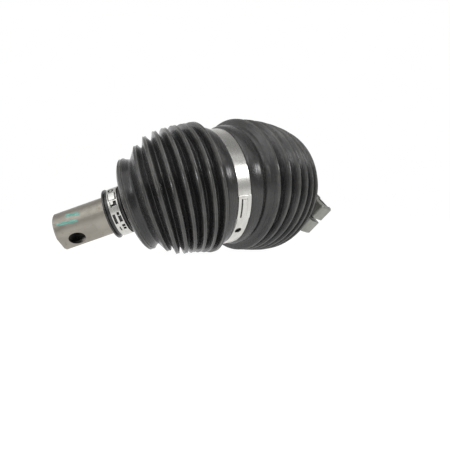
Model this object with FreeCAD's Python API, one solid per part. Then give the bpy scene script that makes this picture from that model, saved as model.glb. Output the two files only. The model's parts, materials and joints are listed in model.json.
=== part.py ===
import FreeCAD
import Part
import math
import os

from FreeCAD import Placement, Rotation, Vector

# Whole joint: two universal joints share one centre ring, bent equally in one plane
BEND = 37.5              # angle of each shaft to the ring at rest, degrees
PIVOT_OFFSET = 28.0      # ring centre to each universal joint's centre
LEFT_REACH = 81.0        # joint centre to the hub's end face
RIGHT_REACH = 82.4       # joint centre to the clamp yoke's end face
REST_ROLL = 64.98        # roll about the ring's axis that lays the bent part on a table
REST_PITCH = -7.02       # small tilt that brings the third contact point down

# Shafts
SHAFT_R = 12.0
SHAFT_CHAMFER = 1.0
BORE_R = 8.0
BORE_DEPTH = 34.0
BORE_CHAMFER = 0.8

# Cross hole and flat of the hub
HOLE_R = 5.5
HOLE_INSET = 11.5        # hole centre to the hub's end face
FLAT_HEIGHT = 9.6        # flat to the shaft's axis
FLAT_LENGTH = 27.0
SIDE_ANGLE = 23.8        # flat and ears, turned from the bend plane's normal

# Clamp ears of the right yoke
EAR_TIP = 25.2           # ear end to the shaft's axis
EAR_STACK = 24.6         # both ears and the slot
EAR_LENGTH = 16.4        # along the shaft
EAR_CORNER = 3.0
SLOT_WIDTH = 2.6
SLOT_BEYOND_EARS = 4.0
BOLT_HOLE_R = 4.2
BOLT_INSET = 5.8         # bolt hole to the yoke's end face
BOLT_FROM_TIP = 8.6      # bolt hole to the ear end
SPOT_FACE_R = 7.0
SPOT_FACE_DEPTH = 0.8

# Bearings of each universal joint, measured outwards from its centre
TRUNNION_R = 4.5
TRUNNION_TIP = 18.2
NEEDLE_R = 0.8
RUNNING_GAP = 0.03       # radial clearance on each side of the needle rollers
CUP_WALL = 1.0
CUP_FLOOR = 1.0
TIP_GAP = 0.1            # trunnion end to cup floor
CUP_LENGTH = 7.0
CIRCLIP_THICKNESS = 0.9
CIRCLIP_GROOVE_DEPTH = 0.6
CIRCLIP_INSIDE = 1.6     # how far the circlip stands over the cup
CIRCLIP_SEAT_GAP = 0.05
CIRCLIP_MOUTH = 50.0     # opening of the circlip, degrees
EAR_MARGIN = 0.9         # eye material outside the circlip
EYE_WALL = 2.75
CROSS_BOSS_R = 7.0
SEAL_THICKNESS = 1.0
SEAL_GAP = 0.3           # seal to the cup's mouth
SEAL_SEAT_GAP = 0.02
CUP_PROUD = 0.6          # cup mouth inside the eye's inner face

# Forks
CROTCH = 19.0            # fork floor to the joint's centre
SHOULDER = 15.0          # where the fork starts to taper
SHANK_START = 29.0       # where the taper meets the shaft

# Centre ring, boot cuffs and the wide band
BAND_WIDTH = 9.0
BAND_THICKNESS = 0.6
BAND_R = 36.2            # inside the band
BAND_LAP = (32.0, 150.0) # angles of the band's overlapped tail
CUFF_THICKNESS = 2.6
RING_WIDTH = 11.0
RING_WALL = 3.0
WEB_WIDTH = 10.0

# Boots: crests as (place along the boot, radius, shift towards the apex), from the ring to the neck
LEFT_CRESTS = ((0.174, 41.9, 1.6), (0.289, 41.3, 2.6), (0.406, 40.8, 3.8), (0.518, 40.2, 4.5),
               (0.627, 39.7, 4.4), (0.75, 38.4, 3.8), (0.873, 34.8, 2.8), (1.114, 30.1, 2.0))
RIGHT_CRESTS = ((0.16, 42.7, -0.5), (0.254, 42.8, -1.0), (0.35, 42.9, -1.5), (0.44, 42.8, -1.9),
                (0.524, 42.5, -2.2), (0.602, 41.8, -2.3), (0.684, 38.2, -1.8), (0.772, 31.6, -1.0))
LEFT_BOOT_END = 21.4     # joint centre to where the boot's line runs straight
RIGHT_BOOT_END = 49.6
LEFT_NECK = 35.4         # joint centre to the neck clamp's inner edge
RIGHT_NECK = 43.6
RIB_DEPTH = 5.2
RIB_EDGE = 0.9           # rounding of a crest
BOOT_WALL = 2.8          # wall of the folds, measured radially
COLLAR_R = 38.4          # bulge beside the band
COLLAR_WIDTH = 4.6
COLLAR_SLOPE = 1.0       # width and depth of the bevel on each side of the collar
NECK_FIT = 0.4           # boot neck to shaft, and neck clamp to boot
NECK_SEAT_R = 14.7
FLANGE_R = 15.4
LIP_R = 16.0
LIP_WIDTH = 1.4
FLANGE_WIDTH = 1.2
GROOVE_MARGIN = 1.2      # groove on each side of the neck clamp
GROOVE_SLOPE = 0.05      # draft of the groove's sides

# Neck clamps
NECK_CLAMP_WIDTH = 7.0
NECK_CLAMP_THICKNESS = 0.6
NECK_CLAMP_LAP = (-62.0, 60.0)
BUCKLE_ANGLE = -32.0
BUCKLE_LENGTH = 6.0
BUCKLE_WIDTH = 4.6
BUCKLE_HEIGHT = 1.0

# Values worked out from the ones above
CUP_BORE_R = TRUNNION_R + 2.0 * (NEEDLE_R + RUNNING_GAP)
CUP_R = CUP_BORE_R + CUP_WALL
EYE_R = CUP_R + EYE_WALL
CUP_INSIDE_END = TRUNNION_TIP + TIP_GAP
CUP_END = CUP_INSIDE_END + CUP_FLOOR
CUP_MOUTH = CUP_END - CUP_LENGTH
EYE_IN = CUP_MOUTH + CUP_PROUD
EYE_OUT = CUP_END + CIRCLIP_THICKNESS + EAR_MARGIN
GROOVE_R = CUP_R + CIRCLIP_GROOVE_DEPTH
CROSS_SHOULDER = CUP_MOUTH - SEAL_GAP - SEAL_THICKNESS
RING_SEAT_R = BAND_R - CUFF_THICKNESS
RING_BORE_R = RING_SEAT_R - RING_WALL
HALF_BAND = BAND_WIDTH / 2.0

X_AXIS = Vector(1, 0, 0)
Y_AXIS = Vector(0, 1, 0)
Z_AXIS = Vector(0, 0, 1)
BEND_RAD = math.radians(BEND)


def axis_frame(origin, x_axis, y_axis):
    """Placement whose local X and Y point along the given directions."""
    z_axis = x_axis.cross(y_axis)
    return Placement(origin, Rotation(x_axis, y_axis, z_axis, "XYZ"))


# Each side's frame: origin at its universal joint, X along the shaft away from the ring,
# Z towards the apex of the bend
LEFT = axis_frame(Vector(-PIVOT_OFFSET, 0, 0),
                  Vector(-math.cos(BEND_RAD), 0, -math.sin(BEND_RAD)), Vector(0, -1, 0))
RIGHT = axis_frame(Vector(PIVOT_OFFSET, 0, 0),
                   Vector(math.cos(BEND_RAD), 0, -math.sin(BEND_RAD)), Vector(0, 1, 0))


def placed(shape, frame):
    """A copy of the shape moved into a frame."""
    moved = shape.copy()
    moved.Placement = frame.multiply(moved.Placement)
    return moved


def revolved(profile):
    """Solid of revolution about X from (x, radius) points."""
    points = [Vector(x, 0, r) for x, r in profile]
    face = Part.Face(Part.makePolygon(points + points[:1]))
    return face.revolve(Vector(0, 0, 0), X_AXIS, 360)


def tube(x_from, x_to, inner, outer):
    """Straight tube about X."""
    solid = Part.makeCylinder(outer, x_to - x_from, Vector(x_from, 0, 0), X_AXIS)
    return solid.cut(Part.makeCylinder(inner, x_to - x_from, Vector(x_from, 0, 0), X_AXIS))


def block(x_range, y_range, z_range):
    """Box between two corners."""
    size = [high - low for low, high in (x_range, y_range, z_range)]
    return Part.makeBox(*size, Vector(x_range[0], y_range[0], z_range[0]))


def arm_frame(direction):
    """Frame at a joint's centre whose X points along a trunnion."""
    side = X_AXIS if abs(direction.x) < 0.5 else Y_AXIS
    return axis_frame(Vector(0, 0, 0), direction, side)


def arc_strip(inner, outer, half_width, angles):
    """Curved strip about X between two angles counted from Z towards -Y."""
    start, end = angles
    corners = [Vector(x, 0, z) for x, z in ((-half_width, inner), (half_width, inner),
                                            (half_width, outer), (-half_width, outer))]
    face = Part.Face(Part.makePolygon(corners + corners[:1]))
    face.rotate(Vector(0, 0, 0), X_AXIS, start)
    return face.revolve(Vector(0, 0, 0), X_AXIS, end - start)


def fused(shapes):
    """One solid out of overlapping shapes, without leftover edges."""
    return shapes[0].multiFuse(shapes[1:]).removeSplitter()


# Bearings: each is drawn along X of its own frame, outwards from the joint's centre
def bearing_cup():
    """Closed needle-roller cup."""
    return revolved([(CUP_MOUTH, CUP_BORE_R), (CUP_MOUTH, CUP_R), (CUP_END, CUP_R), (CUP_END, 0),
                     (CUP_INSIDE_END, 0), (CUP_INSIDE_END, CUP_BORE_R)])


def needle_rollers():
    """Full ring of rollers between a trunnion and its cup."""
    pitch_r = TRUNNION_R + RUNNING_GAP + NEEDLE_R
    count = int(math.pi / math.asin((NEEDLE_R + RUNNING_GAP) / pitch_r))
    first = CUP_MOUTH + CUP_PROUD
    length = TRUNNION_TIP - first
    rollers = []
    for index in range(count):
        angle = 2 * math.pi * index / count
        start = Vector(first, pitch_r * math.cos(angle), pitch_r * math.sin(angle))
        rollers.append(Part.makeCylinder(NEEDLE_R, length, start, X_AXIS))
    return Part.makeCompound(rollers)


def trunnion_seal():
    """Lip seal on the cross, just short of the cup's mouth."""
    return tube(CROSS_SHOULDER, CROSS_SHOULDER + SEAL_THICKNESS, TRUNNION_R + SEAL_SEAT_GAP, CROSS_BOSS_R)


def circlip():
    """Open retaining ring outside the cup's floor."""
    ring = tube(CUP_END, CUP_END + CIRCLIP_THICKNESS, CUP_R - CIRCLIP_INSIDE, GROOVE_R - CIRCLIP_SEAT_GAP)
    middle = CUP_END + CIRCLIP_THICKNESS / 2
    mouth = arc_strip(CUP_R / 2, GROOVE_R * 1.5, CIRCLIP_THICKNESS, (-CIRCLIP_MOUTH / 2, CIRCLIP_MOUTH / 2))
    mouth.translate(Vector(middle, 0, 0))
    return ring.cut(mouth)


def cup_seats(direction):
    """What is cut from a pair of eyes for their cups and circlips."""
    frame = arm_frame(direction)
    seat = Part.makeCylinder(CUP_R, 4 * EYE_OUT, Vector(-2 * EYE_OUT, 0, 0), X_AXIS)
    groove = tube(CUP_END, CUP_END + CIRCLIP_THICKNESS, CUP_R / 2, GROOVE_R)
    other = tube(-CUP_END - CIRCLIP_THICKNESS, -CUP_END, CUP_R / 2, GROOVE_R)
    return [placed(cut, frame) for cut in (seat, groove, other)]


def cross():
    """Cross with four trunnions, in a side's frame: along Y to the ring, along Z to the shaft."""
    arms = []
    for direction in (Y_AXIS, -Y_AXIS, Z_AXIS, -Z_AXIS):
        arm = revolved([(0, 0), (0, CROSS_BOSS_R), (CROSS_SHOULDER, CROSS_BOSS_R),
                        (CROSS_SHOULDER, TRUNNION_R), (TRUNNION_TIP, TRUNNION_R), (TRUNNION_TIP, 0)])
        arms.append(placed(arm, arm_frame(direction)))
    return fused(arms)


# Forks and shafts, in a side's frame
def eyes(direction):
    """Round ends of the two arms that carry a pair of cups."""
    return Part.makeCylinder(EYE_R, 2 * EYE_OUT, direction * -EYE_OUT, direction)


def fork():
    """Two arms along Z, tapering into the shaft."""
    stock = fused([block((0, SHANK_START + SHAFT_R), (-EYE_R, EYE_R), (-EYE_OUT, EYE_OUT)), eyes(Z_AXIS)])
    corner_r = math.hypot(EYE_R, EYE_OUT)
    outline = revolved([(-EYE_R, 0), (-EYE_R, corner_r), (SHOULDER, corner_r), (SHANK_START, SHAFT_R),
                        (SHANK_START + SHAFT_R / 2, SHAFT_R), (SHANK_START + SHAFT_R / 2, 0)])
    mouth = block((-2 * EYE_R, CROTCH), (-2 * EYE_R, 2 * EYE_R), (-EYE_IN, EYE_IN))
    cuts = [mouth] + cup_seats(Z_AXIS)
    return stock.common(outline).cut(cuts)


def shaft(reach):
    """Round shaft with a blind bore in its outer end."""
    bore_bottom = reach - BORE_DEPTH
    return revolved([(SHANK_START, 0), (SHANK_START, SHAFT_R), (reach - SHAFT_CHAMFER, SHAFT_R),
                     (reach, SHAFT_R - SHAFT_CHAMFER), (reach, BORE_R + BORE_CHAMFER),
                     (reach - BORE_CHAMFER, BORE_R), (bore_bottom, BORE_R), (bore_bottom - BORE_R / 2, 0)])


def side_frame(x_place, side):
    """Frame on the shaft's axis whose Y points to the flat or the ears."""
    angle = math.radians(SIDE_ANGLE)
    outwards = Vector(0, -side * math.cos(angle), math.sin(angle))
    return axis_frame(Vector(x_place, 0, 0), X_AXIS, outwards)


def hub_yoke():
    """Left shaft: plain hub with a flat and a cross hole."""
    body = fused([fork(), shaft(LEFT_REACH)])
    far = 2 * SHAFT_R
    flat = placed(block((-FLAT_LENGTH, far), (FLAT_HEIGHT, far), (-far, far)), side_frame(LEFT_REACH, -1))
    hole = placed(Part.makeCylinder(HOLE_R, 2 * far, Vector(0, -far, 0), Y_AXIS),
                  side_frame(LEFT_REACH - HOLE_INSET, -1))
    return body.cut([flat, hole])


def clamp_ears():
    """Ears around the shaft, with rounded ends."""
    half = EAR_STACK / 2
    ears = block((-EAR_LENGTH, 0), (0, EAR_TIP), (-half, half))
    corners = [edge for edge in ears.Edges
               if abs(edge.CenterOfMass.y - EAR_TIP) < 0.01 and abs(edge.CenterOfMass.z) < 0.01]
    rounded = ears.makeFillet(EAR_CORNER, corners)
    rims = [edge for edge in rounded.Edges if abs(edge.CenterOfMass.z) > half - 0.01]
    return rounded.makeChamfer(SHAFT_CHAMFER, rims)


def clamp_yoke():
    """Right shaft: bore closed by a bolt through two split ears."""
    far = 2 * SHAFT_R
    head = side_frame(RIGHT_REACH, 1)
    body = fused([fork(), shaft(RIGHT_REACH).fuse(placed(clamp_ears(), head))])
    bore = Part.makeCylinder(BORE_R, BORE_DEPTH, Vector(-BORE_DEPTH, 0, 0), X_AXIS)
    half_slot = SLOT_WIDTH / 2
    slot = block((-EAR_LENGTH - SLOT_BEYOND_EARS, far), (0, 2 * EAR_TIP), (-half_slot, half_slot))
    bolt_at = Vector(-BOLT_INSET, EAR_TIP - BOLT_FROM_TIP, 0)
    cuts = [bore, slot, Part.makeCylinder(BOLT_HOLE_R, 4 * EAR_STACK, bolt_at - Z_AXIS * 2 * EAR_STACK, Z_AXIS)]
    for sign in (-1, 1):
        seat = bolt_at + Z_AXIS * sign * (EAR_STACK / 2 - SPOT_FACE_DEPTH)
        cuts.append(Part.makeCylinder(SPOT_FACE_R, EAR_STACK, seat, Z_AXIS * sign))
    return body.cut([placed(cut, head) for cut in cuts])


# Centre ring, in the bend plane's frame
def coupling_ring():
    """Sleeve with two bars, whose ends carry the inner pair of cups of each joint."""
    half_ring = RING_WIDTH / 2
    half_web = WEB_WIDTH / 2
    parts = [tube(-half_ring, half_ring, RING_BORE_R, RING_SEAT_R)]
    for sign in (-1, 1):
        bar = sorted((sign * EYE_IN, sign * EYE_OUT))
        parts.append(block((-PIVOT_OFFSET, PIVOT_OFFSET), bar, (-EYE_R, EYE_R)))
        web = sorted((sign * EYE_IN, sign * (RING_BORE_R + RING_WALL / 2)))
        parts.append(block((-half_web, half_web), web, (-half_web, half_web)))
    mouth = block((-2 * EYE_R, 2 * EYE_R), (-EYE_IN, EYE_IN), (-2 * EYE_R, 2 * EYE_R))
    ends = eyes(Y_AXIS).cut(mouth)
    seats = cup_seats(Y_AXIS)
    cuts = []
    for place in (-PIVOT_OFFSET, PIVOT_OFFSET):
        at_joint = Placement(Vector(place, 0, 0), Rotation())
        parts.append(placed(ends, at_joint))
        cuts += [placed(seat, at_joint) for seat in seats]
    return fused(parts).cut(cuts)


def band_clamp():
    """Wide band over both boot cuffs, with the tail lapped over it."""
    band = tube(-HALF_BAND, HALF_BAND, BAND_R, BAND_R + BAND_THICKNESS)
    tail = arc_strip(BAND_R + BAND_THICKNESS / 2, BAND_R + 2 * BAND_THICKNESS, HALF_BAND, BAND_LAP)
    return fused([band, tail])


def neck_clamp(start):
    """Narrow band on a boot's neck, in a side's frame."""
    half = NECK_CLAMP_WIDTH / 2
    inner = NECK_SEAT_R + NECK_FIT
    outer = inner + NECK_CLAMP_THICKNESS
    band = tube(-half, half, inner, outer)
    lap = arc_strip(outer - NECK_CLAMP_THICKNESS / 2, outer + NECK_CLAMP_THICKNESS, half, NECK_CLAMP_LAP)
    spread = math.degrees(BUCKLE_LENGTH / outer) / 2
    buckle = arc_strip(outer, outer + NECK_CLAMP_THICKNESS + BUCKLE_HEIGHT, BUCKLE_WIDTH / 2,
                       (BUCKLE_ANGLE - spread, BUCKLE_ANGLE + spread))
    clamp = fused([band, lap, buckle])
    clamp.translate(Vector(start + half, 0, 0))
    return clamp


# Boots, in the bend plane's frame
class BootLine:
    """Curved centreline of a boot, from the band to the neck."""

    def __init__(self, side_frame_at, side, straight_from):
        self.side = side
        self.start = Vector(side * HALF_BAND, 0, 0)
        self.end = side_frame_at.multVec(Vector(straight_from, 0, 0))
        self.chord = (self.end - self.start).Length
        self.start_slope = X_AXIS * side * self.chord
        self.end_slope = side_frame_at.Rotation.multVec(X_AXIS) * self.chord
        self.straight_from = straight_from

    def at_reach(self, reach):
        """Place on the line that lies a given distance from the joint's centre, near the neck."""
        return 1 + (reach - self.straight_from) / self.chord

    def ring(self, place, radius, shift):
        """Circle across the line, shifted towards the apex of the bend."""
        if place <= 0:
            point, slope = self.start + self.start_slope * place, self.start_slope
        elif place >= 1:
            point, slope = self.end + self.end_slope * (place - 1), self.end_slope
        else:
            t2, t3 = place ** 2, place ** 3
            point = (self.start * (2 * t3 - 3 * t2 + 1) + self.start_slope * (t3 - 2 * t2 + place)
                     + self.end * (3 * t2 - 2 * t3) + self.end_slope * (t3 - t2))
            slope = ((self.start - self.end) * (6 * t2 - 6 * place)
                     + self.start_slope * (3 * t2 - 4 * place + 1) + self.end_slope * (3 * t2 - 2 * place))
        to_apex = slope.cross(Y_AXIS).normalize() * self.side
        return Part.Wire(Part.Circle(point + to_apex * shift, slope, radius).toShape())


def fold_profile(line, crests):
    """Place, outer radius and shift of the folds, crest and valley in turn."""
    edge = RIB_EDGE / line.chord
    profile = []
    for index, (place, radius, shift) in enumerate(crests):
        profile += [(place - edge, radius - RIB_EDGE, shift), (place, radius, shift),
                    (place + edge, radius - RIB_EDGE, shift)]
        if index + 1 < len(crests):
            next_place, next_radius, next_shift = crests[index + 1]
            valley_r = min(radius, next_radius) - RIB_DEPTH
            profile.append(((place + next_place) / 2, valley_r, (shift + next_shift) / 2))
    return profile


def boot(side_frame_at, side, straight_from, neck, crests):
    """Bellows with a cuff under the band and a grooved neck for its clamp."""
    line = BootLine(side_frame_at, side, straight_from)
    along = 1 / line.chord
    cuff_r = RING_SEAT_R + CUFF_THICKNESS
    groove_start = neck - GROOVE_MARGIN
    groove_end = neck + NECK_CLAMP_WIDTH + GROOVE_MARGIN
    cuff_start = -HALF_BAND * along
    collar_start = COLLAR_SLOPE * along
    collar_end = COLLAR_WIDTH * along
    collar = [(cuff_start, cuff_r, 0), (0, cuff_r, 0), (collar_start, COLLAR_R, 0), (collar_end, COLLAR_R, 0),
              (collar_end + collar_start, COLLAR_R - COLLAR_SLOPE, 0)]
    folds = fold_profile(line, crests)
    neck_profile = [(groove_start - FLANGE_WIDTH, FLANGE_R), (groove_start - GROOVE_SLOPE, FLANGE_R),
                    (groove_start, NECK_SEAT_R), (groove_end, NECK_SEAT_R),
                    (groove_end + GROOVE_SLOPE, LIP_R), (groove_end + LIP_WIDTH, LIP_R)]
    outer = collar + folds + [(line.at_reach(reach), radius, 0) for reach, radius in neck_profile]
    neck_bore = SHAFT_R + NECK_FIT
    seat_end = (RING_WIDTH / 2 - HALF_BAND) * along
    inner = [(cuff_start, RING_SEAT_R, 0), (seat_end, RING_SEAT_R, 0),
             (seat_end + collar_start, COLLAR_R - BOOT_WALL, 0)]
    inner += [(place, radius - BOOT_WALL, shift) for place, radius, shift in collar[3:] + folds]
    inner += [(line.at_reach(groove_start - FLANGE_WIDTH), neck_bore, 0),
              (line.at_reach(groove_end + LIP_WIDTH), neck_bore, 0)]
    walls = [Part.makeLoft([line.ring(*row) for row in profile], True, True) for profile in (outer, inner)]
    return walls[0].cut(walls[1])


def build():
    """Every node of the part, in the bend plane's frame."""
    nodes = {
        "coupling_ring": coupling_ring(),
        "band_clamp": band_clamp(),
        "left_boot": boot(LEFT, -1, LEFT_BOOT_END, LEFT_NECK, LEFT_CRESTS),
        "right_boot": boot(RIGHT, 1, RIGHT_BOOT_END, RIGHT_NECK, RIGHT_CRESTS),
        "left_hub_yoke": placed(hub_yoke(), LEFT),
        "right_clamp_yoke": placed(clamp_yoke(), RIGHT),
        "left_neck_clamp": placed(neck_clamp(LEFT_NECK), LEFT),
        "right_neck_clamp": placed(neck_clamp(RIGHT_NECK), RIGHT),
    }
    bearing = {"bearing_cup": bearing_cup(), "needle_rollers": needle_rollers(),
               "trunnion_seal": trunnion_seal(), "circlip": circlip()}
    # The ring's trunnions lie across the bend plane, whatever the bend
    sides = (("left", LEFT, (("ring_front", Y_AXIS), ("ring_rear", -Y_AXIS))),
             ("right", RIGHT, (("ring_front", -Y_AXIS), ("ring_rear", Y_AXIS))))
    for side, frame, ring_arms in sides:
        nodes[side + "_cross"] = placed(cross(), frame)
        arms = ring_arms + (("yoke_upper", Z_AXIS), ("yoke_lower", -Z_AXIS))
        for place, direction in arms:
            for name, piece in bearing.items():
                in_side = placed(piece, arm_frame(direction))
                nodes["_".join((side, place, name))] = placed(in_side, frame)
    return nodes


def laid_down(nodes):
    """Turns the part onto its resting face, with the origin under the middle of its box."""
    turn = Rotation(Y_AXIS, REST_PITCH).multiply(Rotation(X_AXIS, REST_ROLL))
    lay = Placement(Vector(0, 0, 0), turn)
    turned = {name: placed(shape, lay) for name, shape in nodes.items()}
    outside = ("left_boot", "right_boot", "left_hub_yoke", "right_clamp_yoke", "band_clamp")
    box = Part.makeCompound([turned[name] for name in outside]).optimalBoundingBox(False, False)
    middle = Vector((box.XMin + box.XMax) / 2, (box.YMin + box.YMax) / 2, box.ZMin)
    drop = Placement(-middle, Rotation())
    return {name: placed(shape, drop) for name, shape in turned.items()}


os.makedirs("parts", exist_ok=True)
for node_name, node_shape in laid_down(build()).items():
    node_shape.exportStep("parts/" + node_name + ".step")
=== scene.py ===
import json
import math

import bmesh
import bpy
from mathutils import Matrix, Vector


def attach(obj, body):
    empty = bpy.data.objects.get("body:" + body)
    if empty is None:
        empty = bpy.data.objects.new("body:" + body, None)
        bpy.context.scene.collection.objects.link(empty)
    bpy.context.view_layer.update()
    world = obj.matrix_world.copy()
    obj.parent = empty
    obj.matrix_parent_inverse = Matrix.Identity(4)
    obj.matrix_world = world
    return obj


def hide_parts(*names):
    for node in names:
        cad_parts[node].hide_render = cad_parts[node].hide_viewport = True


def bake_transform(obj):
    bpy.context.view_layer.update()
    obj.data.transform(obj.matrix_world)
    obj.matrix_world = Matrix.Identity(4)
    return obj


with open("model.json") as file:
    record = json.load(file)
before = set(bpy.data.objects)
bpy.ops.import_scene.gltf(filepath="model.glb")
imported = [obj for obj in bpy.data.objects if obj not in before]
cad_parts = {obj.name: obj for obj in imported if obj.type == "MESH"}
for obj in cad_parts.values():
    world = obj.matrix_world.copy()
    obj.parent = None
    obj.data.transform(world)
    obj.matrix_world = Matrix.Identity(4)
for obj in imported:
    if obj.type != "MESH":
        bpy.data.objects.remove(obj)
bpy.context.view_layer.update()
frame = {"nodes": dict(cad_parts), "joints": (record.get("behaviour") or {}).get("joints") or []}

# Scene units are metres; the sizes below are millimetres and degrees, unless they say otherwise
MM = 0.001
FULL_TURN = 360.0

# Camera of the photograph, in the bend's frame: x along the ring, z towards the apex of the bend
CAMERA_AT = (-273.52, -173.9, 482.42)
CAMERA_FORWARD = (0.47423, 0.25661, -0.84217)
CAMERA_UP = (0.13256, 0.92486, 0.35645)
LENS = 72.0
SENSOR = 36.0
CLIP_START = 0.01        # metres

# Middle band: angles from the bend's apex to the camera's lower side, across is positive to the yoke
BAND_WIDTH = 9.0
BAND_THICKNESS = 0.6
BAND_R = 36.2
BAND_JOINT = 100.0       # where the strap's two ends meet under the tail
TAIL = (32.0, 150.0)
TAIL_STEP = 56.0         # the tail is narrower from here on
TAIL_STEP_DEPTH = 0.35
WINDOW = (35.4, 54.5)    # opening near the tail's end
WINDOW_ACROSS = (-2.5, 1.8)
TONGUE = (36.2, 56.0)    # plate that fills most of that opening
TONGUE_ACROSS = (-1.4, 2.1)
TONGUE_SHARE = 0.8       # its thickness, as a share of the band's
PUNCH_ANGLE = 71.0       # round hole through the tail and the strap
PUNCH_ACROSS = -0.9
PUNCH_R = 2.2
PUNCH_UNDER = 1.3        # the strap's hole, as a share of the tail's

# Boots: crests as (place along the boot, radius, shift towards the apex), from the ring to the neck
LEFT_CRESTS = ((0.174, 41.9, 1.6), (0.289, 41.3, 2.6), (0.406, 40.8, 3.8), (0.518, 40.2, 4.5),
               (0.627, 39.7, 4.4), (0.75, 38.4, 3.8), (0.873, 34.8, 2.8), (1.114, 30.1, 2.0))
RIGHT_CRESTS = ((0.16, 42.7, -0.5), (0.254, 42.8, -1.0), (0.35, 42.9, -1.5), (0.44, 42.8, -1.9),
                (0.524, 42.5, -2.2), (0.602, 41.8, -2.3), (0.684, 38.2, -1.8), (0.772, 31.6, -1.0))
LEFT_BOOT_END = 21.4     # from the joint's centre to where the boot's line becomes straight
RIGHT_BOOT_END = 49.6
LEFT_NECK = 35.4         # from the joint's centre to the clamp's seat
RIGHT_NECK = 43.6
LEFT_RIBS = (1.15, 4.2, 1.1)    # half width of a crest, depth of a valley, power that shapes its flanks
RIGHT_RIBS = (0.85, 6.6, 1.2)
CREST_EDGE = ((1.0, 0.42), (0.93, 0.14), (0.8, 0.0), (0.58, 0.1))  # shares of the half width: out, down
CREST_HOLLOW = 0.24      # the same share down in the middle of a crest
FLANK_SHARES = (0.1, 0.24, 0.37, 0.44, 0.5, 0.56, 0.63, 0.76, 0.9)  # rows from one crest to the next
VALLEY_ROUND = 0.2       # share of the way between two crests that is the valley's round floor
FOLDS_ON_NOSE = 2        # crests past the valley where a boot's two pieces meet
# Collar as (distance from the band, radius), first flank as (share of the way, sunk by)
COLLAR = ((0.0, 36.2), (0.4, 37.5), (1.3, 38.2), (2.7, 38.4), (4.4, 38.7), (5.0, 38.6), (5.4, 38.1),
          (6.3, 36.6), (7.2, 36.2))
FIRST_FLANK = ((0.1, -0.45), (0.22, -0.25), (0.36, 0.3), (0.5, 0.8), (0.54, 0.6), (0.7, 0.72), (0.74, 0.5),
               (0.88, 0.3))
# Height stored on the skin, which sets dust with a painted sheen on crests and painted shade in valleys: 1 on
# the edges of a crest, 0 on a valley's floor
# A crest's middle is painted darker than its two edges, a painted highlight along each edge
HOLLOW_HEIGHT = 0.6
FLANK_HEIGHT = 0.7
FACE_HEIGHT = 0.35
COLLAR_HEIGHT = 0.5
NECK_HEIGHT = 0.5
# Face from the last crest to the neck, a curve drawn towards two places on its way
FACE_STEPS = 20
CREST_PULL = (0.5, 2.0)      # share of the way, depth below the crest
FLANGE_PULL = (0.62, 1.0)    # share of the way, height above the flange
FLANGE_TUCK = 0.4            # where the face ends, below the flange
# Neck and wall
NECK_BORE_R = 12.4
NECK_SEAT_R = 14.7
FLANGE_R = 15.4
FLANGE_WIDTH = 1.2
LIP_R = 16.0
LIP_WIDTH = 1.4
GROOVE_MARGIN = 1.2      # seat left free on each side of the clamp
GROOVE_SLANT = 0.05
NECK_ROUND = 0.3
BOOT_WALL = 2.8
INNER_STEP = 3           # outer rows for one row on the wall's inner face
AROUND = 144             # points round a row

# Neck clamps: angles from the apex of the bend, and places across that are positive away from the ring
NECK_CLAMP_R = 15.1
NECK_CLAMP_SEAT_WIDTH = 7.0
NECK_CLAMP_WIDTH = 6.4
NECK_CLAMP_INWARD = 0.8  # towards the boot from the middle of its seat
NECK_CLAMP_THICKNESS = 0.45
NECK_LAP = (-74.0, 55.0)
NECK_LAP_CORNER = 1.0
NECK_JOINT = 90.0        # where the strap's two ends meet
NECK_WINDOWS = (((-5.0, 9.0), (-2.3, 1.9)), ((-25.0, -18.5), (-2.1, -0.6)), ((-44.0, -21.0), (0.8, 2.5)),
                ((-42.0, -27.0), (-2.6, -0.7)), ((-64.5, -58.0), (-2.5, -0.7)),
                ((-56.0, -49.5), (-2.6, -0.7)), ((12.0, 33.0), (-2.75, -2.15)),
                ((12.0, 33.0), (2.1, 2.7)), ((33.0, 35.5), (-1.8, 1.8)))
NECK_WINDOW_CORNER = 0.25
SLANTED_SLOT = ((-54.0, 1.5), (-52.5, 0.9), (-65.0, 0.7), (-66.5, 1.3))
NECK_TONGUES = (((1.5, 14.0), (-0.4, 1.5)), ((-17.0, -3.0), (-2.2, 1.2)), ((-46.0, -15.0), (-0.6, 0.7)))
NECK_TONGUE_CORNER = 0.5
NECK_TONGUE_SHARE = 1.5  # thickness, as a share of the strap's
BLOCK_ANGLES = (12.0, 32.0)
BLOCK_ACROSS = (-2.0, 2.1)
BLOCK_CORNER = 0.6
BLOCK_HEIGHT = 0.5
BLOCK_BEVEL = 0.2
DIMPLE_ANGLE = 43.5
DIMPLE_ACROSS = 0.4
DIMPLE_R = 1.85
DIMPLE_BUTTON_R = 0.95
DIMPLE_BEVEL = 0.15
NECK_CELL = 0.8

# Paint dabs on the hub, as (reach, angle, half width) along each stroke
SHAFT_R = 12.0
PAINT_THICKNESS = 0.03
PAINT_BEVEL = 0.005
PAINT_CELL = 0.5
PAINT_DABS = (((77.9, 7.5, 0.5), (77.4, 6.5, 0.95), (75.5, 5.0, 0.8), (72.5, 4.2, 1.1), (69.5, 2.0, 0.9),
               (66.5, 0.5, 1.1), (64.4, -1.5, 0.9), (64.0, -2.5, 0.4)),
              ((71.6, 29.0, 0.5), (71.2, 28.0, 1.0), (69.5, 27.0, 1.3), (67.5, 23.5, 1.05),
               (65.0, 22.0, 1.35), (62.4, 18.5, 1.0), (61.9, 17.5, 0.45)))

# Meshes of bent plates and the angle from which an edge stays sharp
PLATE_BEVEL = 0.12
PLATE_CELL = 1.2         # longest step round a bend
MERGE_WITHIN = 0.002
CUT_WITHIN = 0.0001
HOLE_POINTS = 20
CORNER_POINTS = 5
RUBBER_SHARP_FROM = 40.0
STRAP_SHARP_FROM = 12.0

# Painted shade in the bores: steel is painted dark within this distance of the axis, from this far along the
# shaft
DARK_BELOW = 9.3
DARK_EDGE = 0.6
BORED_FROM = 45.0
BORED_EDGE = 1.0
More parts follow.
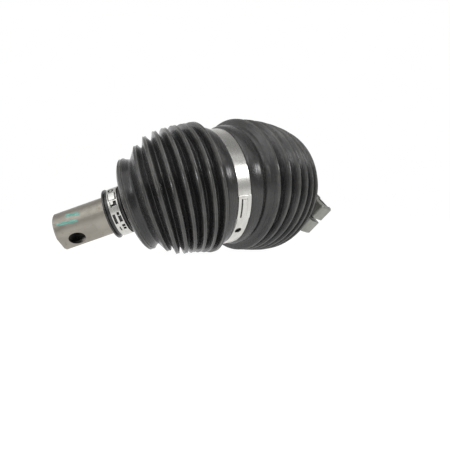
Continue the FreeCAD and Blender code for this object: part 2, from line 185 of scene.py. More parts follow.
# Small steel parts as (ending of the node's name, material, colour, roughness)
SMALL_STEELS = (("_cross", "cross_steel", (0.5, 0.49, 0.48), 0.3),
                ("_bearing_cup", "cup_steel", (0.56, 0.55, 0.54), 0.25),
                ("_needle_rollers", "needle_steel", (0.62, 0.61, 0.6), 0.18),
                ("_circlip", "circlip_steel", (0.12, 0.12, 0.13), 0.35))

# Light: levels of what the object reflects, 1 being white
FRONT_SIDE = (0.5, 0.1, 0.85)   # right, up, towards the camera
FRONT_LEVEL = 0.36
FRONT_FADE = (-0.7, 0.5)        # cosines with the far side between which the level rises to white
CEILING_LEVEL = 0.45
CEILING_FADE = (0.2, 0.8)       # upward parts of the direction between which the level falls
FLOOR_SIZE = 0.9                # metres
FLOOR_DROP = 0.0002             # metres below the resting plane
FLOOR_GREY = (0.8, 0.8, 0.8, 1)
FLOOR_GLOW = 1.14
FLOOR_SHARE = 0.86
# Lamps as (name, direction as the photograph's view sees it, distance, size, watts), in metres
LAMPS = (("key", (0.763, 0.403, 0.506), 0.9, (0.32, 0.17), 1.9),
         ("overhead", (-0.1, 0.86, 0.4), 1.0, (1.9, 0.8), 4.2),
         ("left", (-0.52, 0.6, 0.6), 0.9, (0.6, 0.5), 1.0),
         ("fill", (-0.19, 0.54, 0.82), 0.9, (0.2, 0.2), 0.6))

# Where the bend plane and the two shafts lie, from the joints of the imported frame
joints = {joint["name"]: joint for joint in frame["joints"]}
left_at = Vector(joints["left_fold"]["pos_m"])
right_at = Vector(joints["right_fold"]["pos_m"])
across_bend = Vector(joints["left_fold"]["axis"])
ring_axis = (right_at - left_at).normalized()
ring_middle = (left_at + right_at) / 2


def axis_frame(origin, x_axis, y_axis):
    """Matrix from millimetres along these axes to metres in the row frame."""
    turn = Matrix((x_axis, y_axis, x_axis.cross(y_axis))).transposed().to_4x4()
    return Matrix.Translation(origin) @ turn @ Matrix.Scale(MM, 4)


def side_axes(side):
    """Frame of one shaft: X along it away from the ring, Z towards the apex of the bend."""
    apex = Vector(joints[side + "_swing"]["axis"])
    y_axis = -across_bend if side == "left" else across_bend
    origin = left_at if side == "left" else right_at
    return axis_frame(origin, y_axis.cross(apex), y_axis)


RING = axis_frame(ring_middle, ring_axis, across_bend)
SIDES = {side: side_axes(side) for side in ("left", "right")}
PIVOT_OFFSET = (right_at - left_at).length / 2 / MM
TO_ROW = RING.to_3x3().normalized()
BEND = ring_axis.angle(SIDES["right"].to_3x3().col[0])


# Mesh helpers
def mesh_object(name, mesh, sharp):
    """Object from a finished mesh, smooth except at real edges."""
    shape = bmesh.new()
    shape.from_mesh(mesh)
    bmesh.ops.recalc_face_normals(shape, faces=shape.faces)
    shape.to_mesh(mesh)
    shape.free()
    mesh.shade_smooth()
    mesh.set_sharp_from_angle(angle=math.radians(sharp))
    piece = bpy.data.objects.new(name, mesh)
    bpy.context.scene.collection.objects.link(piece)
    return piece


def closed_skin(name, rows, count):
    """Mesh whose rows of vertices close both round each row and from the last row to the first."""
    points = [point for row in rows for point in row]
    faces = []
    for index in range(len(rows)):
        here, there = index * count, (index + 1) % len(rows) * count
        for step in range(count):
            after = (step + 1) % count
            faces.append((here + step, here + after, there + after, there + step))
    mesh = bpy.data.meshes.new(name)
    mesh.from_pydata(points, [], faces)
    return mesh


def flat_plate(outline, holes, thickness, bevel):
    """Bmesh of a plate in the XY plane, with rounded edges."""
    curve = bpy.data.curves.new("plate", "CURVE")
    curve.dimensions = "2D"
    curve.fill_mode = "BOTH"
    curve.extrude = thickness / 2 - bevel
    curve.bevel_depth = bevel
    curve.bevel_resolution = 1
    curve.offset = -bevel
    for loop in [outline] + holes:
        spline = curve.splines.new("POLY")
        spline.points.add(len(loop) - 1)
        for point, (x, y) in zip(spline.points, loop):
            point.co = (x, y, 0, 1)
        spline.use_cyclic_u = True
    holder = bpy.data.objects.new("plate", curve)
    mesh = bpy.data.meshes.new_from_object(holder)
    bpy.data.objects.remove(holder)
    bpy.data.curves.remove(curve)
    shape = bmesh.new()
    shape.from_mesh(mesh)
    bpy.data.meshes.remove(mesh)
    bmesh.ops.remove_doubles(shape, verts=shape.verts, dist=MERGE_WITHIN)
    return shape


def wrapped_plate(outline, holes, inner, thickness, bevel=PLATE_BEVEL, cell=PLATE_CELL):
    """Plate bent round X: outlines are (angle in degrees, place along X), inner is its lower radius."""
    radius = inner + thickness / 2
    to_length = math.radians(1) * radius
    loops = [[(angle * to_length, across) for angle, across in loop] for loop in [outline] + holes]
    shape = flat_plate(loops[0], loops[1:], thickness, bevel)
    lowest = min(x for x, y in loops[0])
    highest = max(x for x, y in loops[0])
    cuts = int((highest - lowest) / cell)
    for index in range(1, cuts):
        at = lowest + (highest - lowest) * index / cuts
        bmesh.ops.bisect_plane(shape, geom=shape.verts[:] + shape.edges[:] + shape.faces[:],
                               plane_co=(at, 0, 0), plane_no=(1, 0, 0), dist=CUT_WITHIN)
    for vertex in shape.verts:
        turn = vertex.co.x / radius
        reach = radius + vertex.co.z
        vertex.co = (vertex.co.y, -reach * math.sin(turn), reach * math.cos(turn))
    return shape


def joined(name, shapes, matrix):
    """One object from several bmeshes, moved into a frame."""
    whole = bmesh.new()
    for shape in shapes:
        part = bpy.data.meshes.new("part")
        shape.to_mesh(part)
        shape.free()
        whole.from_mesh(part)
        bpy.data.meshes.remove(part)
    whole.transform(matrix)
    mesh = bpy.data.meshes.new(name)
    whole.to_mesh(mesh)
    whole.free()
    return mesh_object(name, mesh, STRAP_SHARP_FROM)


def rectangle(angles, across):
    """Corners of a rectangle on a wrapped plate."""
    return [(angles[0], across[0]), (angles[1], across[0]), (angles[1], across[1]), (angles[0], across[1])]


def round_hole(angle, across, radius, wrap_radius):
    """Circle on a wrapped plate."""
    to_angle = math.degrees(1 / wrap_radius)
    turns = [2 * math.pi * index / HOLE_POINTS for index in range(HOLE_POINTS)]
    return [(angle + radius * math.cos(turn) * to_angle, across + radius * math.sin(turn)) for turn in turns]


def rounded_rectangle(angles, across, corner, wrap_radius):
    """Rectangle with round corners on a wrapped plate."""
    reach = math.degrees(corner / wrap_radius)
    low, high = angles[0] + reach, angles[1] - reach
    left, right = across[0] + corner, across[1] - corner
    corners = ((high, right, 0), (low, right, 90), (low, left, 180), (high, left, 270))
    loop = []
    for middle_angle, middle_across, first in corners:
        for index in range(CORNER_POINTS + 1):
            turn = math.radians(first + 90 * index / CORNER_POINTS)
            loop.append((middle_angle + reach * math.cos(turn), middle_across + corner * math.sin(turn)))
    return loop


# Materials
def add_node(tree, kind, inputs=None, **settings):
    """Shader node with its settings, its inputs set to values or linked to other nodes."""
    node = tree.nodes.new(kind)
    for key, value in settings.items():
        setattr(node, key, value)
    for key, value in (inputs or {}).items():
        if isinstance(value, bpy.types.NodeSocket):
            tree.links.new(value, node.inputs[key])
        else:
            node.inputs[key].default_value = value
    return node


class Surface:
    """A Principled material with short calls for the nodes that feed it."""

    def __init__(self, name, **sockets):
        self.material = bpy.data.materials.new(name)
        self.material.use_nodes = True
        self.tree = self.material.node_tree
        self.shader = self.tree.nodes["Principled BSDF"]
        for socket, value in sockets.items():
            self.feed(socket.replace("_", " "), value)

    def feed(self, socket, value):
        """Value or node output for one of the shader's sockets."""
        if isinstance(value, bpy.types.NodeSocket):
            self.tree.links.new(value, self.shader.inputs[socket])
        else:
            self.shader.inputs[socket].default_value = value

    def node(self, kind, inputs=None, **settings):
        return add_node(self.tree, kind, inputs, **settings)

    def place(self, matrix=None, scale=(1, 1, 1)):
        """Coordinates in a frame's millimetres, stretched."""
        vector = self.node("ShaderNodeTexCoord").outputs["Object"]
        inverse = (matrix or Matrix.Scale(MM, 4)).inverted()
        location, rotation, size = inverse.decompose()
        vector = self.node("ShaderNodeMapping", {"Vector": vector, "Location": location,
                                                 "Rotation": rotation.to_euler(), "Scale": size}).outputs[0]
        return self.stretched(vector, scale)

    def attribute(self, name):
        return self.node("ShaderNodeAttribute", attribute_name=name)

    def stretched(self, vector, scale):
        return self.node("ShaderNodeMapping", {"Vector": vector, "Scale": scale}).outputs[0]

    def noise(self, vector, detail, rough=0.55):
        return self.node("ShaderNodeTexNoise", {"Vector": vector, "Scale": 1.0, "Detail": detail,
                                                "Roughness": rough}).outputs[0]

    def ranged(self, value, low, high, to_low=0.0, to_high=1.0):
        """A value's range stretched to another, and held at its ends."""
        return self.node("ShaderNodeMapRange", {"Value": value, "From Min": low, "From Max": high,
                                                "To Min": to_low, "To Max": to_high}).outputs[0]

    def maths(self, operation, one, other):
        return self.node("ShaderNodeMath", {0: one, 1: other}, operation=operation).outputs[0]

    def colours(self, share, one, other):
        """Mix of two colours, which are plain ones or node outputs."""
        inputs = {"Factor": share}
        for index, colour in ((6, one), (7, other)):
            inputs[index] = colour if isinstance(colour, bpy.types.NodeSocket) else (*colour, 1)
        return self.node("ShaderNodeMix", inputs, data_type="RGBA").outputs[2]

    def bump(self, height, strength, distance, below=None):
        inputs = {"Height": height, "Strength": strength, "Distance": distance * MM}
        if below:
            inputs["Normal"] = below
        return self.node("ShaderNodeBump", inputs).outputs[0]


def rubber_surface():
    """Semi-gloss black rubber: crests lighter with dust and a painted sheen, valleys darker as painted shade,
    streaks round the folds, fine moulded grain.
    """
    made = Surface("moulded_rubber", Specular_IOR_Level=0.7)
    skin = made.attribute("skin").outputs["Vector"]
    height = made.attribute("height").outputs["Fac"]
    cloud = made.noise(made.place(scale=(0.09, 0.09, 0.09)), 5.0)
    streak = made.noise(made.stretched(skin, (1.9, 9.0, 9.0)), 3.0)
    lines = made.noise(made.stretched(skin, (2.6, 2.4, 2.4)), 2.0)
    patches = made.ranged(cloud, 0.35, 0.65, 0.45, 1.0)
    worn = made.maths("MULTIPLY", patches, made.ranged(streak, 0.35, 0.65, 0.6, 1.0))
    # Dust and painted sheen: the rubber is painted lighter towards the crests and darker in the valleys,
    # standing in for sheen and shade
    dust_and_painted_sheen = made.maths("MULTIPLY", made.ranged(height, 0.35, 1.0), worn)
    colour = made.colours(dust_and_painted_sheen, (0.012, 0.012, 0.012), (0.12, 0.118, 0.112))
    soil = made.maths("MULTIPLY", made.ranged(cloud, 0.6, 0.75), made.ranged(streak, 0.5, 0.7))
    made.feed("Base Color", made.colours(soil, colour, (0.085, 0.065, 0.05)))
    made.feed("Roughness", made.ranged(streak, 0.35, 0.65, 0.18, 0.28))
    grain = made.noise(made.place(scale=(2.5, 2.5, 2.5)), 2.0)
    waves = made.bump(streak, 0.1, 0.12)
    ridges = made.bump(made.ranged(lines, 0.54, 0.6), 0.4, 0.1, waves)
    made.feed("Normal", made.bump(grain, 0.04, 0.05, ridges))
    return made.material


def steel_surface(name, matrix, light, dark, stain, roughness, cast=0.0):
    """Turned or forged steel in a shaft's frame: tool marks round X, uneven tone, stains, painted shade in
    the bore.
    """
    made = Surface(name, Metallic=1.0)
    tone = made.noise(made.place(matrix, (0.07, 0.12, 0.12)), 5.0)
    marks = made.noise(made.place(matrix, (3.0, 0.03, 0.03)), 3.0)
    spots = made.noise(made.place(matrix, (0.28, 0.28, 0.28)), 6.0, 0.65)
    colour = made.colours(made.ranged(tone, 0.35, 0.65), dark, light)
    colour = made.colours(made.ranged(marks, 0.2, 0.8, 0.0, 0.35), colour, [value * 0.8 for value in light])
    colour = made.colours(made.ranged(spots, 0.6, 0.75, 0.0, 0.75), colour, stain)
    apart = made.node("ShaderNodeSeparateXYZ", {0: made.place(matrix)})
    across = made.node("ShaderNodeCombineXYZ", {1: apart.outputs[1], 2: apart.outputs[2]}).outputs[0]
    reach = made.node("ShaderNodeVectorMath", {0: across}, operation="LENGTH").outputs["Value"]
    # Painted shade: near-black colour inside the bore, where shade falls
    inward = made.ranged(reach, DARK_BELOW, DARK_BELOW - DARK_EDGE)
    along = made.ranged(apart.outputs[0], BORED_FROM, BORED_FROM + BORED_EDGE)
    painted_bore_shade = made.maths("MULTIPLY", inward, along)
    made.feed("Base Color", made.colours(painted_bore_shade, colour, (0.035, 0.035, 0.033)))
    made.feed("Roughness", made.ranged(spots, 0.3, 0.8, roughness - 0.06, roughness + 0.16))
    fine = made.bump(marks, 0.25, 0.05)
    pits = made.noise(made.place(matrix, (1.1, 1.1, 1.1)), 4.0)
    made.feed("Normal", made.bump(pits, cast, 0.15, fine) if cast else fine)
    return made.material


def strip_surface(name, matrix):
    """Rolled stainless strip, brushed along its length, with a few dull marks."""
    made = Surface(name, Metallic=1.0)
    lines = made.noise(made.place(matrix, (5.0, 0.06, 0.06)), 2.0)
    marks = made.noise(made.place(matrix, (0.35, 0.2, 0.2)), 5.0)
    bright = (0.68, 0.675, 0.645)
    dull = (0.58, 0.57, 0.54)
    made.feed("Base Color", made.colours(made.ranged(marks, 0.35, 0.7), bright, dull))
    made.feed("Roughness", made.maths("ADD", made.ranged(marks, 0.3, 0.75, 0.24, 0.31),
                                      made.ranged(lines, 0.2, 0.8, -0.02, 0.03)))
    made.feed("Normal", made.bump(lines, 0.03, 0.02))
    return made.material


def plain_metal(name, colour, roughness):
    """Ground bearing steel or spring steel, with faint mottling."""
    made = Surface(name, Metallic=1.0)
    tone = made.noise(made.place(scale=(0.5, 0.5, 0.5)), 4.0)
    made.feed("Base Color", made.colours(tone, colour, [value * 0.8 for value in colour]))
    made.feed("Roughness", made.ranged(tone, 0.3, 0.7, roughness - 0.05, roughness + 0.08))
    return made.material


def seal_surface():
    """Matt seal rubber."""
    made = Surface("seal_rubber_matt")
    tone = made.noise(made.place(scale=(1.0, 1.0, 1.0)), 3.0)
    made.feed("Base Color", made.colours(tone, (0.012, 0.012, 0.012), (0.03, 0.03, 0.03)))
    made.feed("Roughness", made.ranged(tone, 0.3, 0.7, 0.55, 0.7))
    return made.material


def paint_surface():
    """Thin water-green marking paint, laid on by brush."""
    made = Surface("marking_paint", Roughness=0.42)
    strokes = made.noise(made.place(SIDES["left"], (0.25, 1.6, 1.6)), 4.0)
    thick = (0.09, 0.36, 0.3)
    thin = (0.3, 0.58, 0.5)
    made.feed("Base Color", made.colours(made.ranged(strokes, 0.35, 0.65), thick, thin))
    made.feed("Normal", made.bump(strokes, 0.3, 0.05))
    return made.material


# Boots
class BootLine:
    """Curved centreline of a boot in the ring's frame, from the band to the neck."""

    def __init__(self, side, straight_from):
        outward = Vector((side * math.cos(BEND), 0, -math.sin(BEND)))
        self.side = side
        self.straight_from = straight_from
        self.start = Vector((side * BAND_WIDTH / 2, 0, 0))
        self.end = Vector((side * PIVOT_OFFSET, 0, 0)) + outward * straight_from
        self.chord = (self.end - self.start).length
        self.start_slope = Vector((side, 0, 0)) * self.chord
        self.end_slope = outward * self.chord

    def at_reach(self, reach):
        """Place on the line at a distance from the joint's centre, near the neck."""
        return 1 + (reach - self.straight_from) / self.chord

    def at(self, place):
        """Point and direction at a place on the line."""
        if place <= 0:
            return self.start + self.start_slope * place, self.start_slope.normalized()
        if place >= 1:
            return self.end + self.end_slope * (place - 1), self.end_slope.normalized()
        square, cube = place ** 2, place ** 3
        point = (self.start * (2 * cube - 3 * square + 1) + self.start_slope * (cube - 2 * square + place)
                 + self.end * (3 * square - 2 * cube) + self.end_slope * (cube - square))
        slope = ((self.start - self.end) * (6 * square - 6 * place)
                 + self.start_slope * (3 * square - 4 * place + 1)
                 + self.end_slope * (3 * square - 2 * place))
        return point, slope.normalized()

    def tilt(self, place):
        """How far the line has turned from the ring's axis, as a share of the bend."""
        return min(1.0, self.at(place)[1].angle(self.start_slope) / BEND)

    def row(self, place, radius, height, shift=0.0, ahead=0.0):
        """Row of points round the line, counted from the apex side."""
        centre, along = self.at(place)
        across = Vector((0, 1, 0))
        up = self.side * along.cross(across)
        centre = centre + up * shift + along * ahead
        turns = [2 * math.pi * index / AROUND for index in range(AROUND)]
        points = [centre + (up * math.cos(turn) - across * math.sin(turn)) * radius for turn in turns]
        return Row(place, centre, points, height)


class Row:
    """One ring of points on a boot's skin; height is 1 on a crest."""

    def __init__(self, place, centre, points, height):
        self.place = place
        self.centre = centre
        self.points = points
        self.height = height

    def inside(self):
        """The same ring on the inner face of the wall."""
        reach = [(point - self.centre).length for point in self.points]
        points = [self.centre + (point - self.centre) * (max(length - BOOT_WALL, NECK_BORE_R) / length)
                  for point, length in zip(self.points, reach)]
        return Row(self.place, self.centre, points, 0.0)


def between(before, after, share, sink, height):
    """Row part of the way from one to another, sunk towards the line."""
    centre = before.centre.lerp(after.centre, share)
    points = []
    for one, other in zip(before.points, after.points):
        point = one.lerp(other, share)
        points.append(point + (centre - point).normalized() * sink)
    return Row(before.place + (after.place - before.place) * share, centre, points, height)


def crest_rows(line, crest, half):
    """Flat-topped crest, as wide all the way round."""
    place, radius, shift = crest
    steps = [(-out, down) for out, down in CREST_EDGE] + [(0.0, CREST_HOLLOW)] + list(reversed(CREST_EDGE))
    return [line.row(place, radius - down * half, HOLLOW_HEIGHT if out == 0 else 1.0, shift, out * half)
            for out, down in steps]


def valley_rows(before, after, depth, bulge):
    """Rows down one flank and up the next."""
    rows = []
    for share in FLANK_SHARES:
        off_middle = abs(2 * share - 1)
        if off_middle < VALLEY_ROUND:
            off_middle = (off_middle ** 2 + VALLEY_ROUND ** 2) / (2 * VALLEY_ROUND)
        sink = depth * (1 - off_middle ** bulge)
        # Flanks are painted darker towards the valley's floor, painted shade in the valleys
        rows.append(between(before, after, share, sink, FLANK_HEIGHT * off_middle ** 3))
    return rows


def front_face(line, crest_row, crest, flange_reach):
    """Rows from the last crest down to the neck's flange."""
    place, radius, shift = crest
    last = line.at_reach(flange_reach)
    start = place + (crest_row.centre - line.row(place, radius, 1.0, shift).centre).length / line.chord
    width = last - start
    start_r = (crest_row.points[0] - crest_row.centre).length
    corners = [(start, start_r), (start + CREST_PULL[0] * width, start_r - CREST_PULL[1]),
               (start + FLANGE_PULL[0] * width, FLANGE_R + FLANGE_PULL[1]), (last, FLANGE_R - FLANGE_TUCK)]
    rows = []
    for step in range(1, FACE_STEPS):
        share = step / FACE_STEPS
        parts = ((1 - share) ** 3, 3 * share * (1 - share) ** 2, 3 * share ** 2 * (1 - share), share ** 3)
        at = sum(part * corner[0] for part, corner in zip(parts, corners))
        out = sum(part * corner[1] for part, corner in zip(parts, corners))
        rows.append(line.row(at, out, FACE_HEIGHT, shift * (1 - share)))
    return rows


def neck_rows(line, neck):
    """Flange, clamp seat and lip of a boot's neck."""
    start = neck - GROOVE_MARGIN
    end = neck + NECK_CLAMP_SEAT_WIDTH + GROOVE_MARGIN
    points = [(start - FLANGE_WIDTH, FLANGE_R - FLANGE_TUCK)]
    for low, high, radius in ((start - FLANGE_WIDTH, start, FLANGE_R), (end, end + LIP_WIDTH, LIP_R)):
        points += [(low + GROOVE_SLANT, radius - NECK_ROUND), (low + NECK_ROUND, radius),
                   (high - NECK_ROUND, radius), (high, radius - NECK_ROUND)]
        if radius == FLANGE_R:
            points += [(high + GROOVE_SLANT, NECK_SEAT_R), (end - GROOVE_SLANT, NECK_SEAT_R)]
    return [line.row(line.at_reach(reach), radius, NECK_HEIGHT) for reach, radius in points]


def boot_piece(name, line, outer, weight_of):
    """Closed rubber wall through these outer rows, and each point's share of the blend, returned with it."""
    inner = outer[::INNER_STEP] + ([outer[-1]] if (len(outer) - 1) % INNER_STEP else [])
    rows = outer + [row.inside() for row in reversed(inner)]
    mesh = closed_skin(name, [row.points for row in rows], AROUND)
    mesh.transform(RING)
    skin, heights, weights = [], [], []
    run = 0.0
    for index, row in enumerate(rows):
        if index:
            run += (row.points[0] - rows[index - 1].points[0]).length
        for step in range(AROUND):
            turn = 2 * math.pi * step / AROUND
            skin += [run, math.cos(turn), math.sin(turn)]
            heights.append(row.height)
            weights.append(weight_of(row.place))
    mesh.attributes.new("skin", "FLOAT_VECTOR", "POINT").data.foreach_set("vector", skin)
    mesh.attributes.new("height", "FLOAT", "POINT").data.foreach_set("value", heights)
    return mesh_object(name, mesh, RUBBER_SHARP_FROM), weights


def blend_folds(piece, line, places):
    """Bakes the piece's placement into its mesh; the line's points at the two places are found but not used.
    """
    start, end = (RING @ line.at(place)[0] for place in places)
    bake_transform(piece)


def smooth_share(value, low, high):
    """Share of the way from low to high, with a soft start and end."""
    share = min(1.0, max(0.0, (value - low) / (high - low)))
    return share * share * (3 - 2 * share)


def boot(side, sign, straight_from, neck, crests, ribs, material):
    """Bellows in two pieces that meet in a valley."""
    line = BootLine(sign, straight_from)
    along = 1 / line.chord
    half, depth, bulge = ribs
    rows = [line.row(-BAND_WIDTH / 2 * along, BAND_R, 0.0)]
    rows += [line.row(reach * along, radius, COLLAR_HEIGHT) for reach, radius in COLLAR]
    folds = [crest_rows(line, crest, half) for crest in crests]
    rows += [between(rows[-1], folds[0][0], share, sink, COLLAR_HEIGHT) for share, sink in FIRST_FLANK]
    middle = 0
    for index, fold in enumerate(folds):
        rows += fold
        if index + 1 < len(folds):
            if index == len(folds) - 1 - FOLDS_ON_NOSE:
                middle = len(rows) + len(FLANK_SHARES) // 2
            rows += valley_rows(fold[-1], folds[index + 1][0], depth, bulge)
    flange = neck - GROOVE_MARGIN - FLANGE_WIDTH
    rows += front_face(line, rows[-1], crests[-1], flange) + neck_rows(line, neck)
    split = rows[middle].place
    split_tilt = line.tilt(split)
    neck_at = line.at_reach(flange)
    pieces = (("folds", rows[:middle + 1], ("ring", side + "_spider"), (0.0, split),
               lambda place: min(1.0, line.tilt(place) / split_tilt)),
              ("nose", rows[middle:], (side + "_spider", side + "_shaft"), (split, neck_at),
               lambda place: smooth_share(place, split, neck_at)))
    for part, outer, bodies, places, weight_of in pieces:
        piece, weights = boot_piece(side + "_boot_" + part, line, outer, weight_of)
        blend_folds(piece, line, places)
        piece.data.materials.append(material)
        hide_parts(side + "_boot")


# Clamps
def band_strap(material):
    """Wide band: strap round both cuffs, lapped tail with its window, tongue and punched hole."""
    half = BAND_WIDTH / 2
    tail_r = BAND_R + BAND_THICKNESS
    slit = (WINDOW_ACROSS[0], TONGUE_ACROSS[0])
    under_hole = round_hole(PUNCH_ANGLE + FULL_TURN, PUNCH_ACROSS, PUNCH_R * PUNCH_UNDER, BAND_R)
    # Opening in the strap under the slit beside the tongue, so the dark rubber shows through as painted shade
    # in the gap
    shade_window_under_slit = rectangle([angle + FULL_TURN for angle in WINDOW], slit)
    strap = wrapped_plate(rectangle((BAND_JOINT, BAND_JOINT + FULL_TURN), (-half, half)),
                          [under_hole, shade_window_under_slit], BAND_R, BAND_THICKNESS)
    narrow = half - TAIL_STEP_DEPTH
    outline = [(TAIL[0], -half), (TAIL_STEP, -half), (TAIL_STEP, -narrow), (TAIL[1], -narrow),
               (TAIL[1], narrow), (TAIL_STEP, narrow), (TAIL_STEP, half), (TAIL[0], half)]
    tail = wrapped_plate(outline, [round_hole(PUNCH_ANGLE, PUNCH_ACROSS, PUNCH_R, tail_r),
                                   rectangle(WINDOW, WINDOW_ACROSS)], tail_r, BAND_THICKNESS)
    tongue = wrapped_plate(rectangle(TONGUE, TONGUE_ACROSS), [], tail_r, BAND_THICKNESS * TONGUE_SHARE)
    piece = joined("band_strap", [strap, tail, tongue], RING)
    piece.data.materials.append(material)
    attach(piece, "ring")
    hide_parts("band_clamp")


def neck_strap(side, start, material):
    """Narrow clamp: strap, lap with windows and tongues, raised block and round dimple."""
    half = NECK_CLAMP_WIDTH / 2
    lap_r = NECK_CLAMP_R + NECK_CLAMP_THICKNESS
    top_r = lap_r + NECK_CLAMP_THICKNESS
    windows = [rounded_rectangle(angles, across, NECK_WINDOW_CORNER, lap_r)
               for angles, across in NECK_WINDOWS]
    windows += [list(SLANTED_SLOT), round_hole(DIMPLE_ANGLE, DIMPLE_ACROSS, DIMPLE_R, lap_r)]
    whole = rectangle((NECK_JOINT - FULL_TURN, NECK_JOINT), (-half, half))
    lap = rounded_rectangle(NECK_LAP, (-half, half), NECK_LAP_CORNER, lap_r)
    block = rounded_rectangle(BLOCK_ANGLES, BLOCK_ACROSS, BLOCK_CORNER, top_r)
    # The windows go through the strap under the lap too, so the dark rubber shows in them as painted shade
    shapes = [wrapped_plate(whole, windows, NECK_CLAMP_R, NECK_CLAMP_THICKNESS, cell=NECK_CELL),
              wrapped_plate(lap, windows, lap_r, NECK_CLAMP_THICKNESS, cell=NECK_CELL),
              wrapped_plate(block, [], top_r, BLOCK_HEIGHT, BLOCK_BEVEL, NECK_CELL)]
    for angles, across in NECK_TONGUES:
        tongue = rounded_rectangle(angles, across, NECK_TONGUE_CORNER, lap_r)
        shapes.append(wrapped_plate(tongue, [], lap_r, NECK_CLAMP_THICKNESS * NECK_TONGUE_SHARE,
                                    cell=NECK_CELL))
    button = round_hole(DIMPLE_ANGLE, DIMPLE_ACROSS, DIMPLE_BUTTON_R, lap_r)
    shapes.append(wrapped_plate(button, [], NECK_CLAMP_R, NECK_CLAMP_THICKNESS * 2, DIMPLE_BEVEL, NECK_CELL))
    middle = start + NECK_CLAMP_SEAT_WIDTH / 2 - NECK_CLAMP_INWARD
    piece = joined(side + "_neck_strap", shapes, SIDES[side] @ Matrix.Translation((middle, 0, 0)))
    piece.data.materials.append(material)
    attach(piece, side + "_shaft")
    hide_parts(side + "_neck_clamp")


def paint_dabs(material):
    """Brush strokes of marking paint on the hub."""
    shapes = []
    to_angle = math.degrees(1 / SHAFT_R)
    for stroke in PAINT_DABS:
        outline = [(angle + half * to_angle, reach) for reach, angle, half in stroke]
        outline += [(angle - half * to_angle, reach) for reach, angle, half in reversed(stroke)]
        shapes.append(wrapped_plate(outline, [], SHAFT_R + PAINT_THICKNESS / 2, PAINT_THICKNESS,
                                    PAINT_BEVEL, PAINT_CELL))
    piece = joined("hub_paint_dabs", shapes, SIDES["left"])
    piece.data.materials.append(material)
    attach(piece, "left_shaft")


# CAD nodes that stay, with their finishes
def dress(material, ending):
    """Gives a material to every CAD node whose name ends so."""
    for name, node in frame["nodes"].items():
        if name.endswith(ending):
            node.data.materials.clear()
            node.data.materials.append(material)


# Stage
def seen(right, up, near):
    """Direction in the row frame, given as the photograph's view sees it."""
    back = -(TO_ROW @ Vector(CAMERA_FORWARD))
    upwards = TO_ROW @ Vector(CAMERA_UP)
    return (upwards.cross(back) * right + upwards * up + back * near).normalized()


def world_light():
    """White backdrop behind the object, darker towards the front and overhead for what it reflects."""
    world = bpy.data.worlds.new("studio")
    bpy.context.scene.world = world
    world.use_nodes = True
    tree = world.node_tree
    tree.nodes.clear()
    direction = add_node(tree, "ShaderNodeTexCoord").outputs["Generated"]
    behind = add_node(tree, "ShaderNodeVectorMath", {0: direction, 1: -seen(*FRONT_SIDE)},
                      operation="DOT_PRODUCT")
    level = add_node(tree, "ShaderNodeMapRange", {"Value": behind.outputs["Value"],
                                                  "From Min": FRONT_FADE[0], "From Max": FRONT_FADE[1],
                                                  "To Min": FRONT_LEVEL, "To Max": 1.0})
    height = add_node(tree, "ShaderNodeSeparateXYZ", {0: direction})
    ceiling = add_node(tree, "ShaderNodeMapRange", {"Value": height.outputs["Z"],
                                                    "From Min": CEILING_FADE[0], "From Max": CEILING_FADE[1],
                                                    "To Min": 1.0, "To Max": CEILING_LEVEL})
    dimmed = add_node(tree, "ShaderNodeMath", {0: level.outputs[0], 1: ceiling.outputs[0]},
                      operation="MULTIPLY")
    path = add_node(tree, "ShaderNodeLightPath")
    shown = add_node(tree, "ShaderNodeMath", {0: path.outputs["Is Camera Ray"], 1: dimmed.outputs[0]},
                     operation="MAXIMUM")
    background = add_node(tree, "ShaderNodeBackground", {"Color": (1, 1, 1, 1), "Strength": shown.outputs[0]})
    add_node(tree, "ShaderNodeOutputWorld", {"Surface": background.outputs[0]})


def floor():
    """Pale floor that shows white, with a faint shadow of the object."""
    bpy.ops.mesh.primitive_plane_add(size=FLOOR_SIZE, location=(0, 0, -FLOOR_DROP))
    plane = bpy.context.object
    plane.name = "floor"
    made = Surface("floor_white")
    path = made.node("ShaderNodeLightPath")
    shown = made.maths("MAXIMUM", path.outputs["Is Camera Ray"], path.outputs["Is Glossy Ray"])
    diffuse = made.node("ShaderNodeBsdfDiffuse", {"Color": FLOOR_GREY})
    glow = made.node("ShaderNodeEmission", {"Strength": FLOOR_GLOW})
    mix = made.node("ShaderNodeMixShader", {0: made.maths("MULTIPLY", shown, FLOOR_SHARE),
                                            1: diffuse.outputs[0], 2: glow.outputs[0]})
    out = made.tree.nodes["Material Output"]
    made.tree.links.new(mix.outputs[0], out.inputs["Surface"])
    plane.data.materials.append(made.material)


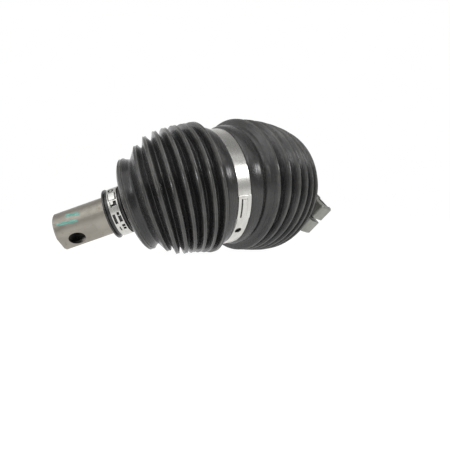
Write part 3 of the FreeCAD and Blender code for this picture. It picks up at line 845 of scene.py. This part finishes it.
def softbox(name, direction, distance, size, power):
    """Area lamp that faces the middle of the part."""
    lamp = bpy.data.lights.new(name, "AREA")
    lamp.shape = "RECTANGLE"
    lamp.size, lamp.size_y = size
    lamp.energy = power
    holder = bpy.data.objects.new(name, lamp)
    bpy.context.scene.collection.objects.link(holder)
    away = seen(*direction)
    holder.location = ring_middle + away * distance
    holder.rotation_euler = away.to_track_quat("Z", "Y").to_euler()


def camera():
    """The photograph's view."""
    lens = bpy.data.cameras.new("photo_view")
    lens.lens = LENS
    lens.sensor_width = SENSOR
    lens.clip_start = CLIP_START
    holder = bpy.data.objects.new("photo_view", lens)
    bpy.context.scene.collection.objects.link(holder)
    turn = Matrix((seen(1, 0, 0), seen(0, 1, 0), seen(0, 0, 1))).transposed().to_4x4()
    holder.matrix_world = Matrix.Translation(RING @ Vector(CAMERA_AT)) @ turn
    bpy.context.scene.camera = holder


def build():
    camera()
    world_light()
    floor()
    for name, direction, distance, size, power in LAMPS:
        softbox(name, direction, distance, size, power)
    rubber = rubber_surface()
    boot("left", -1, LEFT_BOOT_END, LEFT_NECK, LEFT_CRESTS, LEFT_RIBS, rubber)
    boot("right", 1, RIGHT_BOOT_END, RIGHT_NECK, RIGHT_CRESTS, RIGHT_RIBS, rubber)
    band_strap(strip_surface("band_stainless", RING))
    for side, neck in (("left", LEFT_NECK), ("right", RIGHT_NECK)):
        neck_strap(side, neck, strip_surface(side + "_clamp_stainless", SIDES[side]))
    paint_dabs(paint_surface())
    dress(steel_surface("hub_turned_steel", SIDES["left"], (0.38, 0.355, 0.31), (0.3, 0.28, 0.245),
                        (0.2, 0.18, 0.14), 0.38), "left_hub_yoke")
    dress(steel_surface("yoke_forged_steel", SIDES["right"], (0.34, 0.34, 0.315), (0.27, 0.27, 0.245),
                        (0.2, 0.15, 0.11), 0.48, cast=0.3), "right_clamp_yoke")
    dress(steel_surface("ring_steel_finish", RING, (0.42, 0.41, 0.4), (0.34, 0.33, 0.32),
                        (0.2, 0.16, 0.13), 0.4), "coupling_ring")
    for ending, name, colour, roughness in SMALL_STEELS:
        dress(plain_metal(name, colour, roughness), ending)
    dress(seal_surface(), "_trunnion_seal")
    bpy.context.scene.view_settings.view_transform = "Standard"


build()
